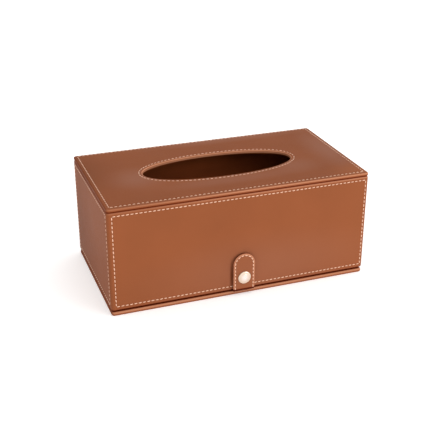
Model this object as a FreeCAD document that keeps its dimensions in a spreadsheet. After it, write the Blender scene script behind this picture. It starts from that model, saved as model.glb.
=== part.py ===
import FreeCAD, Part
import math
import os

import Sketcher
from FreeCAD import Placement, Rotation, Vector

# A leather-covered tissue box. A board case, open below, stands on a base flap. The flap hangs on the
# hide of the back wall, and a strap on its front edge closes with a press stud on the front wall.
#
# Frame: millimetres, +Z up, X along the box, front wall towards -Y. The origin is on the table, at the
# middle of the case. Everything is placed from the sizes below.

SIZES = {
    # Overall size over the leather.
    "case_length": 240.0,
    "case_width": 130.0,
    "case_height": 100.0,
    # Sheet materials.
    "leather": 0.8,
    "lining": 0.5,
    "wall_board": 3.0,
    "top_board": 2.0,
    "base_board": 2.2,
    # Rounding of the covered boards: upright corners, then the upper and lower edges of each panel.
    "corner_radius": 3.0,
    "top_bead_radius": 1.2,
    "top_foot_radius": 0.9,
    "lip_radius": 1.0,
    "wall_bead_radius": 2.2,
    "wall_foot_radius": 1.5,
    "base_bead_radius": 2.2,
    "base_foot_radius": 1.3,
    # Oval opening for the tissues.
    "opening_length": 143.0,
    "opening_width": 55.0,
    # Base flap, and the dark gap between it and the walls.
    "base_setback": 0.2,
    "base_turn_in": 12.0,
    "base_gap": 1.4,
    # The hide that runs from the back wall over the fold to the base.
    "hinge_length": 224.0,
    "seam_gap": 0.2,
    "fold_gap": 0.3,
    # Clearance of the linings from what they meet.
    "lining_clearance": 0.2,
    # Strap. The bend radius is that of its outer face, where it turns from the tail up the wall.
    "strap_width": 20.0,
    "strap_tip_height": 41.0,
    "strap_leather": 1.2,
    "strap_stand_off": 0.9,
    "strap_edge_radius": 0.4,
    "strap_bend_radius": 3.0,
    "strap_bend_rise": 3.3,
    "strap_bend_gap": 0.3,
    "tail_length": 20.0,
    # Press stud: its height on the wall, and radii and depths along its axis.
    "stud_height": 18.0,
    "shank_radius": 1.3,
    "shank_clearance": 0.05,
    "rivet_radius": 4.5,
    "rivet_head": 0.5,
    "stud_flange_radius": 4.5,
    "stud_flange": 0.3,
    "stud_neck_radius": 1.7,
    "stud_head_radius": 2.0,
    "stud_reach": 1.6,
    "stud_roof": 0.3,
    "rivet_end_gap": 0.15,
    "snap_clearance": 0.15,
    "socket_flange_radius": 5.0,
    "socket_wall": 0.8,
    "socket_end": 0.3,
    "cap_radius": 6.0,
    "cap_rim": 0.7,
    "cap_rise": 1.5,
    "cap_shank_radius": 2.0,
}


class Term:
    """A length with its value in millimetres and the sheet expression that gives it."""

    def __init__(self, value, text):
        self.value = value
        self.text = text

    def __add__(self, other):
        other = term(other)
        return Term(self.value + other.value, f"({self.text} + {other.text})")

    def __sub__(self, other):
        other = term(other)
        return Term(self.value - other.value, f"({self.text} - {other.text})")

    def __rsub__(self, other):
        return term(other) - self

    def __mul__(self, factor):
        return Term(self.value * factor, f"({self.text} * {factor})")

    def __truediv__(self, divisor):
        return Term(self.value / divisor, f"({self.text} / {divisor})")

    def __neg__(self):
        return self * -1

    __radd__ = __add__
    __rmul__ = __mul__


def term(value):
    return value if isinstance(value, Term) else Term(float(value), str(value))


# ---------------------------------------------------------------- document and sheet

doc = FreeCAD.newDocument("tissue_box")
sheet = doc.addObject("Spreadsheet::Sheet", "sizes")
for row, (alias, number) in enumerate(SIZES.items(), start=1):
    sheet.set(f"A{row}", alias)
    sheet.set(f"B{row}", str(number))
    sheet.setAlias(f"B{row}", alias)
doc.recompute()


def size(alias):
    return Term(float(getattr(sheet, alias)), f"sizes.{alias}")


def bind(item, name, value):
    item.setExpression(name, term(value).text)


def place(item, x=0, y=0, z=0, rotation=None):
    """Place an object by sheet expressions, with a fixed turn if one is given."""
    item.Placement = Placement(Vector(), rotation or Rotation())
    for axis, value in zip("xyz", (x, y, z)):
        bind(item, f"Placement.Base.{axis}", value)


# ---------------------------------------------------------------- sizes worked out once

leather = size("leather")
lining = size("lining")
wall_board = size("wall_board")
corner_radius = size("corner_radius")
case_length = size("case_length")
case_width = size("case_width")
lining_clearance = size("lining_clearance")
strap_leather = size("strap_leather")
strap_stand_off = size("strap_stand_off")
shank_hole = size("shank_radius") + size("shank_clearance")

front_face = -case_width / 2
back_face = case_width / 2

base_thickness = 2 * leather + size("base_board")
wall_bottom = base_thickness + size("base_gap")
wall_top = size("case_height") - size("top_board") - leather
wall_height = wall_top - wall_bottom
board_bottom = wall_bottom + leather
board_height = wall_height - 2 * leather

# Plan of the boards under the leather, and of the room inside them.
board_length = case_length - 2 * leather
board_width = case_width - 2 * leather
board_radius = corner_radius - leather
room_length = board_length - 2 * wall_board
room_width = board_width - 2 * wall_board

# The hide folds on a line just outside the back wall, half way up the gap.
fold_height = base_thickness + size("base_gap") / 2
fold_reach = size("fold_gap") / 2

# Strap: its back face, the joint between its two leathers, its front face, and its lower end over the bend.
strap_back = front_face - strap_stand_off
strap_joint = strap_back - strap_leather
strap_face = strap_joint - strap_leather
strap_foot = base_thickness + size("strap_bend_rise") + size("strap_bend_gap")
strap_length = size("strap_tip_height") - strap_foot

# How near two places must be to count as the same.
TOUCH = 1e-3


# ---------------------------------------------------------------- modelling helpers

def new_body(label):
    body = doc.addObject("PartDesign::Body", label)
    body.Label = label
    return body


def new_sketch(body, name, role="XY_Plane", x=0, y=0, lift=0):
    """Sketch on one of the body's origin planes, shifted by sheet expressions."""
    sketch = body.newObject("Sketcher::SketchObject", f"{body.Label}_{name}")
    plane = next(item for item in body.Origin.OriginFeatures if item.Role == role)
    sketch.AttachmentSupport = [(plane, "")]
    sketch.MapMode = "FlatFace"
    for axis, value in zip("xyz", (x, y, lift)):
        bind(sketch, f"AttachmentOffset.Base.{axis}", value)
    return sketch


def constrain(sketch, *arguments):
    return sketch.addConstraint(Sketcher.Constraint(*arguments))


def dimension(sketch, kind, references, value):
    """Driving dimension bound to the sheet."""
    index = constrain(sketch, kind, *references, value.value)
    bind(sketch, f"Constraints[{index}]", value)


def draw_rectangle(sketch, length, width, radius=None):
    """Rectangle about the sketch's origin, with round corners if a radius is given."""
    half_x, half_y = length.value / 2, width.value / 2
    round_by = radius.value if radius else 0.0
    in_x, in_y = half_x - round_by, half_y - round_by
    sides = [
        (Vector(-in_x, -half_y, 0), Vector(in_x, -half_y, 0)),
        (Vector(half_x, -in_y, 0), Vector(half_x, in_y, 0)),
        (Vector(in_x, half_y, 0), Vector(-in_x, half_y, 0)),
        (Vector(-half_x, in_y, 0), Vector(-half_x, -in_y, 0)),
    ]
    lines = [sketch.addGeometry(Part.LineSegment(*side)) for side in sides]
    constrain(sketch, "Horizontal", lines[0])
    constrain(sketch, "Vertical", lines[1])
    constrain(sketch, "Horizontal", lines[2])
    constrain(sketch, "Vertical", lines[3])
    if radius:
        centres = [(in_x, -in_y), (in_x, in_y), (-in_x, in_y), (-in_x, -in_y)]
        quarter = math.pi / 2
        arcs = []
        for number, (x, y) in enumerate(centres):
            circle = Part.Circle(Vector(x, y, 0), Vector(0, 0, 1), round_by)
            start = quarter * (number - 1)
            arcs.append(sketch.addGeometry(Part.ArcOfCircle(circle, start, start + quarter)))
        for number, arc in enumerate(arcs):
            constrain(sketch, "Tangent", lines[number], 2, arc, 1)
            constrain(sketch, "Tangent", arc, 2, lines[(number + 1) % 4], 1)
        for arc in arcs[1:]:
            constrain(sketch, "Equal", arcs[0], arc)
        dimension(sketch, "Radius", (arcs[0],), radius)
        constrain(sketch, "Symmetric", arcs[0], 3, arcs[2], 3, -1, 1)
    else:
        for number in range(4):
            constrain(sketch, "Coincident", lines[number], 2, lines[(number + 1) % 4], 1)
        constrain(sketch, "Symmetric", lines[0], 2, lines[2], 2, -1, 1)
    dimension(sketch, "DistanceX", (lines[3], 1, lines[1], 1), length)
    dimension(sketch, "DistanceY", (lines[0], 1, lines[2], 1), width)


def draw_ellipse(sketch, length, width):
    """Ellipse about the sketch's origin, its long axis along x."""
    long_end = Vector(length.value / 2, 0, 0)
    short_end = Vector(0, width.value / 2, 0)
    ellipse = sketch.addGeometry(Part.Ellipse(long_end, short_end, Vector()))
    sketch.exposeInternalGeometry(ellipse)
    long_axis, short_axis = ellipse + 1, ellipse + 2
    constrain(sketch, "Coincident", ellipse, 3, -1, 1)
    constrain(sketch, "Horizontal", long_axis)
    dimension(sketch, "DistanceX", (long_axis, 2, long_axis, 1), length)
    dimension(sketch, "DistanceY", (short_axis, 2, short_axis, 1), width)


def draw_circle(sketch, radius):
    circle = sketch.addGeometry(Part.Circle(Vector(), Vector(0, 0, 1), radius.value))
    constrain(sketch, "Coincident", circle, 3, -1, 1)
    dimension(sketch, "Radius", (circle,), radius)


def draw_outline(sketch, corners, domed=False):
    """Closed outline through corners given as (x, y) terms, all at or right of the sketch's y axis.

    A domed outline closes with an arc centred on the y axis instead of a straight last side.
    """
    corners = [(term(x), term(y)) for x, y in corners]
    points = [Vector(x.value, y.value, 0) for x, y in corners]
    sides = []
    for start, end in zip(points, points[1:]):
        sides.append(sketch.addGeometry(Part.LineSegment(start, end)))
    if domed:
        rim, top = points[-1], points[0]
        drop = top.y - rim.y
        bend = (rim.x ** 2 + drop ** 2) / (2 * drop)
        centre = Vector(0, top.y - bend, 0)
        middle = centre + ((rim + top) / 2 - centre).normalize() * bend
        sides.append(sketch.addGeometry(Part.Arc(rim, middle, top)))
        constrain(sketch, "PointOnObject", sides[-1], 3, -2)
    else:
        sides.append(sketch.addGeometry(Part.LineSegment(points[-1], points[0])))
    for number, side in enumerate(sides):
        constrain(sketch, "Coincident", sides[number - 1], 2, side, 1)
    for side, (x, y) in zip(sides, corners):
        if x.value < TOUCH:
            constrain(sketch, "PointOnObject", side, 1, -2)
        else:
            dimension(sketch, "DistanceX", (-1, 1, side, 1), x)
        dimension(sketch, "DistanceY", (-1, 1, side, 1), y)


def add_pad(body, sketch, name, length, backwards=False):
    pad = body.newObject("PartDesign::Pad", f"{body.Label}_{name}")
    pad.Profile = sketch
    pad.Reversed = backwards
    bind(pad, "Length", length)
    sketch.Visibility = False
    return pad


def add_pocket(body, sketch, name, depth=None, backwards=False, both_ways=False):
    """Cut the sketch out of the body, to a depth or right through, and make sure that it cuts."""
    doc.recompute()
    before = body.Shape.Volume
    pocket = body.newObject("PartDesign::Pocket", f"{body.Label}_{name}")
    pocket.Profile = sketch
    pocket.Reversed = backwards
    if both_ways:
        pocket.SideType = "Symmetric"
    if depth is None:
        pocket.Type = "ThroughAll"
    else:
        bind(pocket, "Length", depth)
    doc.recompute()
    if body.Shape.Volume > before - TOUCH:
        raise RuntimeError(f"{pocket.Name} cuts nothing")
    return pocket


def add_fillet(body, name, radius, wanted):
    """Round the edges of the body's last feature that a test on the edge picks out."""
    doc.recompute()
    base = body.Tip
    edges = [f"Edge{n}" for n, edge in enumerate(base.Shape.Edges, start=1) if wanted(edge)]
    if not edges:
        raise RuntimeError(f"{body.Label}_{name} finds no edge")
    fillet = body.newObject("PartDesign::Fillet", f"{body.Label}_{name}")
    fillet.Base = (base, edges)
    bind(fillet, "Radius", radius)
    doc.recompute()
    return fillet


def at_level(axis, level):
    """Test for edges that lie wholly in the plane where an axis has a value."""
    low, high = f"{axis}Min", f"{axis}Max"

    def wanted(edge):
        box = edge.BoundBox
        return abs(getattr(box, low) - level) < TOUCH and abs(getattr(box, high) - level) < TOUCH

    return wanted


def turned_body(label, corners, domed=False):
    """Body turned about the press stud's axis, from an outline of (radius, distance off the wall)."""
    body = new_body(label)
    sketch = new_sketch(body, "outline", "XZ_Plane")
    draw_outline(sketch, corners, domed)
    turn = body.newObject("PartDesign::Revolution", f"{label}_turn")
    turn.Profile = sketch
    turn.ReferenceAxis = (sketch, ["V_Axis"])
    turn.Angle = 360
    place(body, 0, front_face, size("stud_height"), Rotation(Vector(1, 0, 0), 90))
    return body


def sheet_box(label, length, width, height, x, y, z):
    """Plain sheet of material, given by its size and its lowest corner."""
    box = doc.addObject("Part::Box", label)
    box.Label = label
    bind(box, "Length", length)
    bind(box, "Width", width)
    bind(box, "Height", height)
    place(box, x, y, z)
    return box


def stud_hole(body, radius, height):
    """Hole for the press stud, along Y through the middle of the body."""
    sketch = new_sketch(body, "hole_circle", "XZ_Plane", y=height)
    draw_circle(sketch, radius)
    add_pocket(body, sketch, "hole", both_ways=True)


# ---------------------------------------------------------------- top panel

def make_top_board():
    body = new_body("top_board")
    plan = new_sketch(body, "plan")
    draw_rectangle(plan, board_length, board_width, board_radius)
    draw_ellipse(plan, size("opening_length") + 2 * leather, size("opening_width") + 2 * leather)
    add_pad(body, plan, "sheet", size("top_board"))
    place(body, z=wall_top)
    return body


def make_top_leather():
    """Leather over the top board, down its edges and down round the oval opening."""
    body = new_body("top_leather")
    thickness = leather + size("top_board")
    plan = new_sketch(body, "plan")
    draw_rectangle(plan, case_length, case_width, corner_radius)
    add_pad(body, plan, "block", thickness)
    add_fillet(body, "bead", size("top_bead_radius"), at_level("Z", thickness.value))
    add_fillet(body, "foot", size("top_foot_radius"), at_level("Z", 0.0))

    room = new_sketch(body, "board_room")
    draw_rectangle(room, board_length, board_width, board_radius)
    draw_ellipse(room, size("opening_length") + 2 * leather, size("opening_width") + 2 * leather)
    add_pocket(body, room, "hollow", size("top_board"), backwards=True)

    oval = new_sketch(body, "oval")
    draw_ellipse(oval, size("opening_length"), size("opening_width"))
    add_pocket(body, oval, "opening", backwards=True)

    def is_lip(edge):
        nearer_opening = 2 * edge.BoundBox.XLength < size("opening_length").value + case_length.value
        return at_level("Z", thickness.value)(edge) and nearer_opening and edge.BoundBox.YLength > TOUCH

    add_fillet(body, "lip", size("lip_radius"), is_lip)
    place(body, z=wall_top)
    return body


def make_top_lining():
    body = new_body("top_lining")
    plan = new_sketch(body, "plan")
    draw_rectangle(plan, room_length - 2 * lining_clearance, room_width - 2 * lining_clearance)
    draw_ellipse(plan, size("opening_length") + 2 * leather, size("opening_width") + 2 * leather)
    add_pad(body, plan, "sheet", lining)
    place(body, z=wall_top - lining)
    return body


# ---------------------------------------------------------------- walls

def make_long_board(label, middle, side):
    """Front or back board, full length, with the outer corners rounded for the leather."""
    body = new_body(label)
    plan = new_sketch(body, "plan")
    draw_rectangle(plan, board_length, wall_board)
    add_pad(body, plan, "sheet", board_height)

    def is_outer_corner(edge):
        box = edge.BoundBox
        upright = box.ZLength > board_height.value - TOUCH
        return upright and abs(box.YMin - side * wall_board.value / 2) < TOUCH

    add_fillet(body, "corners", board_radius, is_outer_corner)
    if side < 0:
        stud_hole(body, shank_hole, size("stud_height") - board_bottom)
    place(body, y=middle, z=board_bottom)
    return body


def make_end_board(label, left):
    return sheet_box(label, wall_board, room_width, board_height, left, -room_width / 2, board_bottom)


def make_wall_leather():
    """Band of leather round the left, front and right walls and both back corners.

    It is turned in over the top and under the bottom of the boards, and stops at the back panel.
    """
    body = new_body("wall_leather")
    plan = new_sketch(body, "plan")
    draw_rectangle(plan, case_length, case_width, corner_radius)
    add_pad(body, plan, "block", wall_height)
    add_fillet(body, "bead", size("wall_bead_radius"), at_level("Z", wall_height.value))
    add_fillet(body, "foot", size("wall_foot_radius"), at_level("Z", 0.0))

    room = new_sketch(body, "room")
    draw_rectangle(room, room_length, room_width)
    add_pocket(body, room, "inside", backwards=True)

    boards = new_sketch(body, "boards", lift=leather)
    draw_rectangle(boards, board_length, board_width, board_radius)
    add_pocket(body, boards, "board_room", board_height, backwards=True)

    back = new_sketch(body, "back_panel", y=case_width / 2)
    reach = 2 * (leather + wall_board)
    draw_rectangle(back, size("hinge_length") + 2 * size("seam_gap"), reach)
    add_pocket(body, back, "back_window", backwards=True)

    stud_hole(body, shank_hole, size("stud_height") - wall_bottom)
    place(body, z=wall_bottom)
    return body


def make_back_leather():
    """Back panel of the hide: turned in over the board, and running down to the fold."""
    body = new_body("back_leather")
    section = new_sketch(body, "section", "YZ_Plane")
    turn_in = leather + wall_board
    foot = fold_height + fold_reach - wall_bottom
    draw_outline(section, [
        (turn_in - leather, foot),
        (turn_in, foot),
        (turn_in, wall_height),
        (0, wall_height),
        (0, wall_height - leather),
        (turn_in - leather, wall_height - leather),
    ])
    add_pad(body, section, "sheet", size("hinge_length"))

    def is_bead(edge):
        box = edge.BoundBox
        return at_level("Z", wall_height.value)(edge) and abs(box.YMin - turn_in.value) < TOUCH

    add_fillet(body, "bead", size("wall_bead_radius"), is_bead)
    place(body, x=-size("hinge_length") / 2, y=back_face - turn_in, z=wall_bottom)
    return body


def make_wall_linings():
    """One lining on each wall, from the foot of the wall to the lining of the top."""
    z = wall_bottom + lining_clearance
    height = wall_height - lining - 2 * lining_clearance
    end_width = room_width - 2 * lining - 2 * lining_clearance
    back = sheet_box("back_lining", room_length, lining, height, -room_length / 2, room_width / 2 - lining, z)
    left = sheet_box("left_lining", lining, end_width, height, -room_length / 2, -end_width / 2, z)
    right = sheet_box("right_lining", lining, end_width, height, room_length / 2 - lining, -end_width / 2, z)

    front = new_body("front_lining")
    plan = new_sketch(front, "plan")
    draw_rectangle(plan, room_length, lining)
    add_pad(front, plan, "sheet", height)
    stud_hole(front, shank_hole, size("stud_height") - z)
    place(front, y=-room_width / 2 + lining / 2, z=z)
    return [front, back, left, right]


# ---------------------------------------------------------------- base flap

base_front = front_face + size("base_setback")
base_depth = back_face - base_front
base_length = case_length - 2 * size("base_setback")
base_middle = (back_face + base_front) / 2


def make_base_board():
    body = new_body("base_board")
    plan = new_sketch(body, "plan")
    draw_rectangle(plan, base_length - 2 * leather, base_depth - 2 * leather, board_radius)
    add_pad(body, plan, "sheet", size("base_board"))
    place(body, y=base_middle, z=leather)
    return body


def make_base_leather():
    """Leather under the base board, round its edges and turned in over its top.

    A lip along the back edge is the start of the hide that rises to the fold.
    """
    body = new_body("base_leather")
    plan = new_sketch(body, "plan")
    draw_rectangle(plan, base_length, base_depth, corner_radius)
    add_pad(body, plan, "block", base_thickness)
    add_fillet(body, "bead", size("base_bead_radius"), at_level("Z", base_thickness.value))
    add_fillet(body, "foot", size("base_foot_radius"), at_level("Z", 0.0))

    window = new_sketch(body, "window", lift=leather + size("base_board"))
    inset = 2 * size("base_turn_in")
    draw_rectangle(window, base_length - inset, base_depth - inset)
    add_pocket(body, window, "lining_room", leather, backwards=True)

    room = new_sketch(body, "room", lift=leather)
    draw_rectangle(room, base_length - 2 * leather, base_depth - 2 * leather, board_radius)
    add_pocket(body, room, "board_room", size("base_board"), backwards=True)

    lip = new_sketch(body, "lip", y=base_depth / 2 - leather / 2, lift=leather)
    draw_rectangle(lip, size("hinge_length"), leather)
    add_pad(body, lip, "fold_lip", fold_height - fold_reach - leather)
    place(body, y=base_middle)
    return body


def make_base_lining():
    """Lining inside the turned-in leather, level with it."""
    inset = 2 * size("base_turn_in") + 2 * lining_clearance
    length = base_length - inset
    depth = base_depth - inset
    level = leather + size("base_board")
    return sheet_box("base_lining", length, depth, leather, -length / 2, base_middle - depth / 2, level)


# ---------------------------------------------------------------- strap

# Distances off the front wall's leather. The stud's flange lies on the wall, the socket's flange on the
# strap's back, and the socket's closed end meets the cap's shank between the strap's two leathers.
socket_hole_radius = size("stud_head_radius") + size("snap_clearance")
socket_radius = socket_hole_radius + size("socket_wall")
ply_joint = strap_stand_off + strap_leather
strap_front = strap_stand_off + 2 * strap_leather


def make_strap_tail():
    """End of the strap's outer leather: glued along the base, then bent up in front of the gap."""
    body = new_body("strap_tail")
    section = new_sketch(body, "section", "YZ_Plane")
    draw_outline(section, [
        (0, 0),
        (size("tail_length"), 0),
        (size("tail_length"), strap_leather),
        (strap_leather, strap_leather),
        (strap_leather, size("strap_bend_rise")),
        (0, size("strap_bend_rise")),
    ])
    add_pad(body, section, "sheet", size("strap_width"))

    def along_strap(y, z):
        def wanted(edge):
            return at_level("Y", y)(edge) and at_level("Z", z)(edge)
        return wanted

    add_fillet(body, "outer_bend", size("strap_bend_radius"), along_strap(0.0, 0.0))
    inner = strap_leather.value
    add_fillet(body, "inner_bend", size("strap_bend_radius") - strap_leather, along_strap(inner, inner))
    place(body, x=-size("strap_width") / 2, y=strap_face, z=base_thickness)
    return body


def make_strap_ply(label, back, hole_radius, outside):
    """One of the strap's two leathers, straight up from the bend with a round tip."""
    body = new_body(label)
    width = size("strap_width")
    radius = width / 2
    shoulder = strap_length - radius
    face = new_sketch(body, "face", "XZ_Plane")
    low_left, low_right = Vector(-radius.value, 0, 0), Vector(radius.value, 0, 0)
    high_left = Vector(-radius.value, shoulder.value, 0)
    high_right = Vector(radius.value, shoulder.value, 0)
    foot = face.addGeometry(Part.LineSegment(low_left, low_right))
    right = face.addGeometry(Part.LineSegment(low_right, high_right))
    circle = Part.Circle(Vector(0, shoulder.value, 0), Vector(0, 0, 1), radius.value)
    tip = face.addGeometry(Part.ArcOfCircle(circle, 0.0, math.pi))
    left = face.addGeometry(Part.LineSegment(high_left, low_left))
    constrain(face, "Coincident", foot, 2, right, 1)
    constrain(face, "Tangent", right, 2, tip, 1)
    constrain(face, "Tangent", tip, 2, left, 1)
    constrain(face, "Coincident", left, 2, foot, 1)
    constrain(face, "Horizontal", foot)
    constrain(face, "Vertical", right)
    constrain(face, "Symmetric", foot, 1, foot, 2, -1, 1)
    dimension(face, "DistanceX", (foot, 1, foot, 2), width)
    dimension(face, "DistanceY", (-1, 1, tip, 3), shoulder)
    add_pad(body, face, "sheet", strap_leather)
    doc.recompute()

    outer_face = body.Shape.BoundBox.YMin if outside else body.Shape.BoundBox.YMax
    add_fillet(body, "edge", size("strap_edge_radius"), at_level("Y", outer_face))
    stud_hole(body, hole_radius, size("stud_height") - strap_foot)
    place(body, y=back, z=strap_foot)
    return body


def make_strap():
    socket_hole = socket_radius + size("shank_clearance")
    cap_hole = size("cap_shank_radius") + size("shank_clearance")
    back_ply = make_strap_ply("strap_back_leather", strap_back, socket_hole, False)
    front_ply = make_strap_ply("strap_front_leather", strap_joint, cap_hole, True)
    return [make_strap_tail(), back_ply, front_ply]


# ---------------------------------------------------------------- press stud

def make_stud_rivet():
    """Rivet through the front wall, its head on the lining and its shank in the stud."""
    head_face = -(leather + wall_board + lining)
    tip = size("stud_reach") - size("stud_roof") - size("rivet_end_gap")
    return turned_body("stud_rivet", [
        (0, head_face - size("rivet_head")),
        (size("rivet_radius"), head_face - size("rivet_head")),
        (size("rivet_radius"), head_face),
        (size("shank_radius"), head_face),
        (size("shank_radius"), tip),
        (0, tip),
    ])


def make_stud():
    """Stud on the wall: flange, waisted neck and a head with bevelled edges, hollow for the rivet."""
    bevel = size("stud_head_radius") - size("stud_neck_radius")
    reach = size("stud_reach")
    head_foot = reach - 3 * bevel
    roof_face = reach - size("stud_roof")
    return turned_body("snap_stud", [
        (shank_hole, 0),
        (size("stud_flange_radius"), 0),
        (size("stud_flange_radius"), size("stud_flange")),
        (size("stud_neck_radius"), size("stud_flange")),
        (size("stud_neck_radius"), head_foot),
        (size("stud_head_radius"), head_foot + bevel),
        (size("stud_head_radius"), reach - bevel),
        (size("stud_neck_radius"), reach),
        (0, reach),
        (0, roof_face),
        (shank_hole, roof_face),
    ])


def make_socket():
    """Socket in the strap's back leather, open to the stud and closed towards the cap."""
    flange_face = size("stud_flange") + size("snap_clearance")
    return turned_body("snap_socket", [
        (socket_hole_radius, flange_face),
        (size("socket_flange_radius"), flange_face),
        (size("socket_flange_radius"), strap_stand_off),
        (socket_radius, strap_stand_off),
        (socket_radius, ply_joint),
        (0, ply_joint),
        (0, ply_joint - size("socket_end")),
        (socket_hole_radius, ply_joint - size("socket_end")),
    ])


def make_cap():
    """Domed cap on the strap's front, with its shank through the outer leather."""
    half_rim = size("cap_rim") / 2
    rim_foot = size("cap_radius") - half_rim
    return turned_body("snap_cap", [
        (0, strap_front + size("cap_rise")),
        (0, ply_joint),
        (size("cap_shank_radius"), ply_joint),
        (size("cap_shank_radius"), strap_front),
        (rim_foot, strap_front),
        (size("cap_radius"), strap_front + half_rim),
        (rim_foot, strap_front + size("cap_rim")),
    ], domed=True)


# ---------------------------------------------------------------- assembly and export

parts = [
    make_top_board(),
    make_top_leather(),
    make_top_lining(),
    make_long_board("front_board", -room_width / 2 - wall_board / 2, -1),
    make_long_board("back_board", room_width / 2 + wall_board / 2, 1),
    make_end_board("left_board", -board_length / 2),
    make_end_board("right_board", room_length / 2),
    make_wall_leather(),
    make_back_leather(),
    *make_wall_linings(),
    make_stud_rivet(),
    make_stud(),
    make_base_board(),
    make_base_leather(),
    make_base_lining(),
    *make_strap(),
    make_socket(),
    make_cap(),
]
doc.recompute()

for item in doc.Objects:
    if "Invalid" in item.State or "Error" in item.State:
        raise RuntimeError(f"{item.Name} failed: {item.State}")

os.makedirs("parts", exist_ok=True)
for part in parts:
    if part.Shape.isNull() or not part.Shape.isValid():
        raise RuntimeError(f"{part.Label} has no valid shape")
    part.Shape.exportStep(f"parts/{part.Label}.step")
    box = part.Shape.BoundBox
    print(f"{part.Label:20s} {len(part.Shape.Solids)} solid {part.Shape.Volume:10.1f} mm3  "
          f"x {box.XMin:8.2f}..{box.XMax:7.2f}  y {box.YMin:7.2f}..{box.YMax:6.2f}  "
          f"z {box.ZMin:6.2f}..{box.ZMax:6.2f}")
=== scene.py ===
"""Looks of the leather-covered tissue box: covers, strap, press stud cap, stitching, finishes and stage."""

import math

import bmesh
import bpy
import numpy as np
from bpy.props import FloatProperty, FloatVectorProperty, IntProperty, PointerProperty
from mathutils import Matrix, Vector


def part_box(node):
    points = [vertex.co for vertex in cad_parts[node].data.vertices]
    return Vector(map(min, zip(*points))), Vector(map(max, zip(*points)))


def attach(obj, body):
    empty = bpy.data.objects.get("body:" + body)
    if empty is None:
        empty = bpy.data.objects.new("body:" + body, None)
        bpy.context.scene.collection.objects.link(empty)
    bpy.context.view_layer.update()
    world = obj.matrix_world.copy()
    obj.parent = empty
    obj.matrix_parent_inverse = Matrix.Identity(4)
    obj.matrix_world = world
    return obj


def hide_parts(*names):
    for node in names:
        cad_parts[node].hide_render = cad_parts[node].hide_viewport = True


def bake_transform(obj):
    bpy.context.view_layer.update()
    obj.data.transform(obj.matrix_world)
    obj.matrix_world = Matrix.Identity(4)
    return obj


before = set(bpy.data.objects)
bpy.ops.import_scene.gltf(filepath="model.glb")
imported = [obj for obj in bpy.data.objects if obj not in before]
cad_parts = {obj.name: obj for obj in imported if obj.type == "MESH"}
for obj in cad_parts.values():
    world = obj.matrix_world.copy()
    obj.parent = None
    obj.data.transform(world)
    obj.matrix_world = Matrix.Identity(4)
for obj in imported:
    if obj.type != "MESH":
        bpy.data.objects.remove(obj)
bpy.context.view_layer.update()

bl_info = {
    "name": "Leather tissue box",
    "version": (1, 0, 0),
    "blender": (4, 5, 0),
    "location": "View3D > Sidebar > Tissue box",
    "description": "Leather covers, stitching and finishes for a tissue box with a hinged base",
    "category": "Object",
}

MM = 0.001
TOP_LOW, TOP_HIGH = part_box("top_leather")
WALL_LOW, WALL_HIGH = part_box("wall_leather")
BACK_LOW, BACK_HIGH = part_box("back_leather")
BASE_LOW, BASE_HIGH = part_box("base_leather")
STRAP_LOW, STRAP_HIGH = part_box("strap_front_leather")
BACKING_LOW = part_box("strap_back_leather")[0]
TAIL_LOW, TAIL_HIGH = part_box("strap_tail")
CAP_LOW, CAP_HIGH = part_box("snap_cap")

LEATHER = TOP_HIGH.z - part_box("top_board")[1].z
BASE_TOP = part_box("base_board")[1].z + LEATHER
STRAP_PLY = STRAP_HIGH.y - STRAP_LOW.y
ROW_TURN = 1.2 * MM     # Rounding of the corners of a wall's row of stitches.
WALL_FOOT = 1.5 * MM    # Rounding of a wall's lower edge.
BEAD = 2.2 * MM         # Rounding of the upper edge of a wall and of the base.
NARROW = 0.05 * MM      # Least radius of an inner corner, and least gap between rows of points.
# Distances across a stitch line at which a cover has its rows of points.
ACROSS_STITCH = np.array([-1.4, -1.05, -0.75, -0.5, -0.25, 0.0, 0.25, 0.5, 0.75, 1.05, 1.4]) * MM


def length(name, size, description, **limits):
    """Option that is given in millimetres."""
    return FloatProperty(
        name=name, description=description, default=size * MM, unit="LENGTH", precision=5, **limits)


def tint(name, colour, description):
    """Option that is a colour."""
    return FloatVectorProperty(
        name=name, description=description, default=colour, subtype="COLOR", min=0, max=1)


class TissueBoxSizes(bpy.types.PropertyGroup):
    """Sizes of the covers and of the stitching."""

    corner_radius: length("Corner radius", 3.0, "Rounding of the upright corners", min=1.0 * MM, max=8.0 * MM)
    opening_length: length("Opening length", 141.8, "Length of the oval opening")
    opening_width: length("Opening width", 55.0, "Width of the oval opening")
    opening_fullness: FloatProperty(
        name="Opening fullness", default=2.12, min=2.0, max=4.0,
        description="2 makes the opening an ellipse, and more makes its ends blunter")
    stitch_inset: length("Stitch inset", 3.7, "Distance of the stitching from an upright corner")
    side_inset: length("Side inset", 5.1, "Distance of the side walls' stitching from an upright corner")
    front_shift: length("Front shift", 0.6, "How far the front's stitching lies to the right of its middle")
    top_shift: length("Top shift", 1.2, "How far the top's stitching lies behind its middle")
    row_inset: length("Row inset", 3.8, "Distance of the stitching from the top and the foot of a wall")
    top_inset: length("Top inset", 3.6, "Distance of the stitching from the edge of the top")
    opening_inset: length("Opening inset", 3.2, "Distance of the stitching from the opening's edge")
    strap_bend: length("Strap bend", 3.0, "Radius of the strap's outer face where it turns under the case")
    strap_inset: length("Strap inset", 1.6, "Distance of the stitching from the strap's edge")
    groove_depth: length("Groove depth", 0.24, "How deep a row of stitches pulls the leather in")
    groove_width: length("Groove width", 0.5, "Half width of the furrow along a row of stitches")
    stitch_pitch: length("Stitch pitch", 3.8, "Distance from one stitch to the next")
    strap_pitch: length("Strap stitch pitch", 3.35, "Distance from one stitch to the next on the strap")
    stitch_share: FloatProperty(
        name="Stitch share", default=0.68, min=0.2, max=0.95,
        description="Share of a row's length that its thread covers")
    thread_radius: length("Thread radius", 0.44, "Half the thickness of the thread")


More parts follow.
